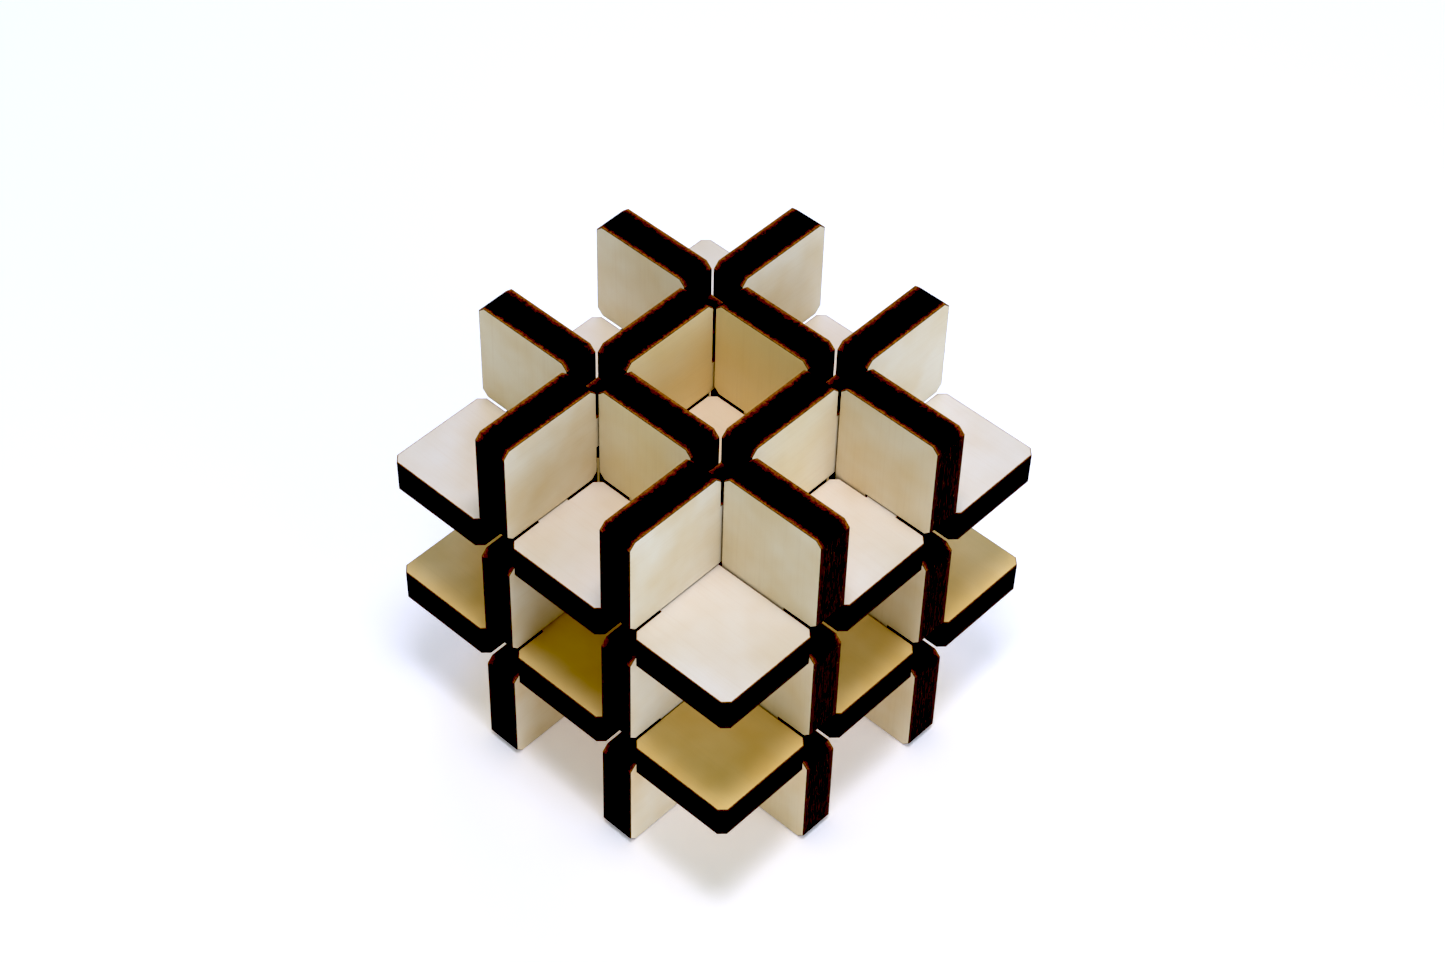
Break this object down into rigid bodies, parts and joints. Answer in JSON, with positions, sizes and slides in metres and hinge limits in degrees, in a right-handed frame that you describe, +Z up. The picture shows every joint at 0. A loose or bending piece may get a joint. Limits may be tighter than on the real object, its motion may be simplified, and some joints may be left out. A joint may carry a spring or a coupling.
{
  "type": "wooden burr puzzle",
  "caption": "Cube-shaped interlocking puzzle of notched plywood boards that slide out of crossing grids one by one.",
  "frame": {"origin": "centre of the footprint, on the surface the puzzle stands on", "axes": "+Z up, +X to the puzzle's right, -Y to its front"},
  "size_m": [0.0694, 0.0694, 0.0693],
  "materials": {
    "birch_plywood": "satin"
  },
  "bodies": {
    "locked_core": {"back_right_upright": "birch_plywood", "front_middle_upright": "birch_plywood", "left_bottom_rail": "birch_plywood", "left_top_rail": "birch_plywood", "lower_front_shelf": "birch_plywood", "right_bottom_rail": "birch_plywood", "right_middle_rail": "birch_plywood", "upper_middle_shelf": "birch_plywood"},
    "front_left_upright": {"front_left_upright": "birch_plywood"},
    "front_right_upright": {"front_right_upright": "birch_plywood"},
    "back_left_upright": {"back_left_upright": "birch_plywood"},
    "back_middle_upright": {"back_middle_upright": "birch_plywood"},
    "left_middle_rail": {"left_middle_rail": "birch_plywood"},
    "right_top_rail": {"right_top_rail": "birch_plywood"},
    "lower_middle_shelf": {"lower_middle_shelf": "birch_plywood"},
    "lower_back_shelf": {"lower_back_shelf": "birch_plywood"},
    "upper_front_shelf": {"upper_front_shelf": "birch_plywood"},
    "upper_back_shelf": {"upper_back_shelf": "birch_plywood"}
  },
  "joints": [
    {"name": "front_left_upright_slide", "type": "slide", "parent": "locked_core", "child": "front_left_upright", "axis": [-1, 0, 0], "range_m": [0, 0.0189]},
    {"name": "front_right_upright_slide", "type": "slide", "parent": "locked_core", "child": "front_right_upright", "axis": [1, 0, 0], "range_m": [0, 0.0189]},
    {"name": "back_left_upright_slide", "type": "slide", "parent": "locked_core", "child": "back_left_upright", "axis": [-1, 0, 0], "range_m": [0, 0.0189]},
    {"name": "back_middle_upright_slide", "type": "slide", "parent": "locked_core", "child": "back_middle_upright", "axis": [0, 0, 1], "range_m": [0, 0.0504]},
    {"name": "left_middle_rail_slide", "type": "slide", "parent": "locked_core", "child": "left_middle_rail", "axis": [0, -1, 0], "range_m": [-0.0504, 0.0504]},
    {"name": "right_top_rail_slide", "type": "slide", "parent": "locked_core", "child": "right_top_rail", "axis": [0, 0, 1], "range_m": [0, 0.0189]},
    {"name": "lower_middle_shelf_slide", "type": "slide", "parent": "locked_core", "child": "lower_middle_shelf", "axis": [1, 0, 0], "range_m": [-0.0504, 0.0504]},
    {"name": "lower_back_shelf_slide", "type": "slide", "parent": "locked_core", "child": "lower_back_shelf", "axis": [0, 1, 0], "range_m": [0, 0.0189]},
    {"name": "upper_front_shelf_slide", "type": "slide", "parent": "locked_core", "child": "upper_front_shelf", "axis": [0, -1, 0], "range_m": [0, 0.0189]},
    {"name": "upper_back_shelf_slide", "type": "slide", "parent": "locked_core", "child": "upper_back_shelf", "axis": [0, 1, 0], "range_m": [0, 0.0189]}
  ]
}
